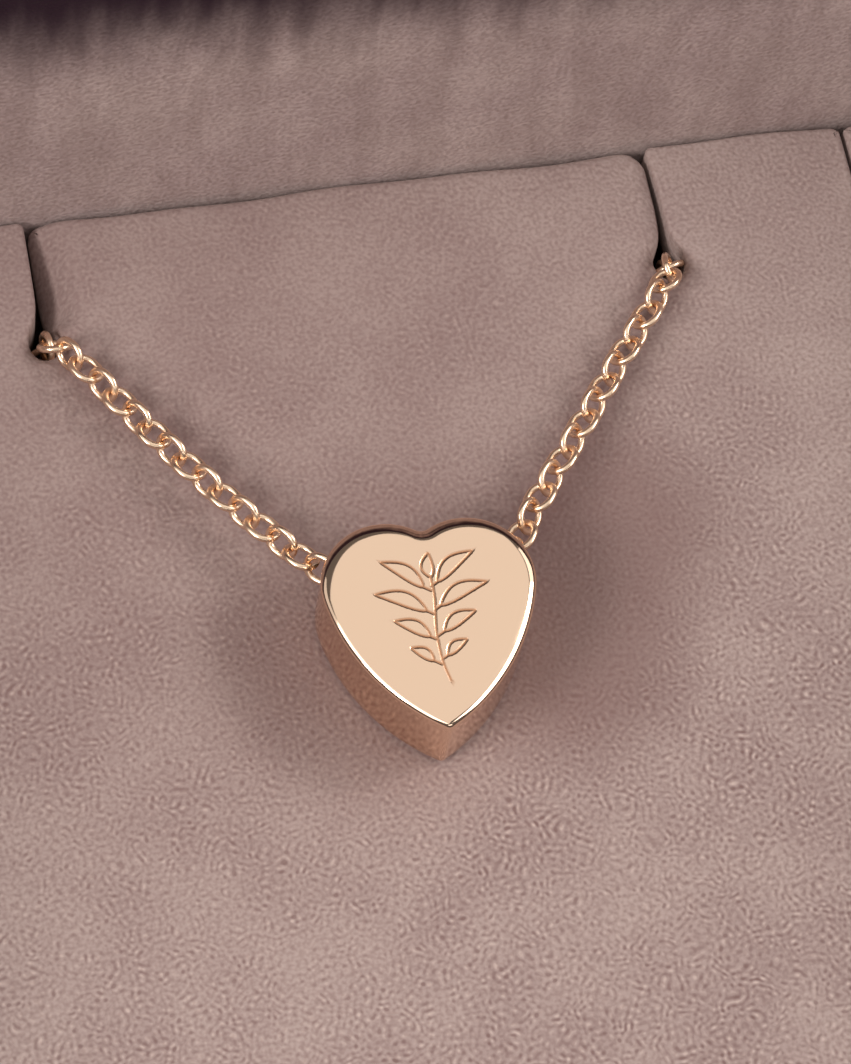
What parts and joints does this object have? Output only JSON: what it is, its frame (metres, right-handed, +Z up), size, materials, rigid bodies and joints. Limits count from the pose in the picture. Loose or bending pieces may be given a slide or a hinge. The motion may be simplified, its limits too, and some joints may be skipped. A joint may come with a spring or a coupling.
{
  "type": "heart necklace in a jewellery box",
  "caption": "Puffed heart pendant on a fine belcher chain, lying in an open square suede-lined box; the chain dives through slits in the pad and is closed by a clasp under it.",
  "frame": {"origin": "middle of the box's underside", "axes": "+Z up out of the box, +X along the row of slits, +Y towards the wall behind the slits"},
  "size_m": [0.124, 0.124, 0.045],
  "materials": {
    "rose_gold": "polished rose-gold plate",
    "suede": "brushed mauve-brown suede"
  },
  "bodies": {
    "root": {"heart": "rose_gold", "chain_front": "rose_gold", "chain_back": "rose_gold", "clasp": "rose_gold", "pad": "suede", "box": "suede"}
  },
  "joints": []
}
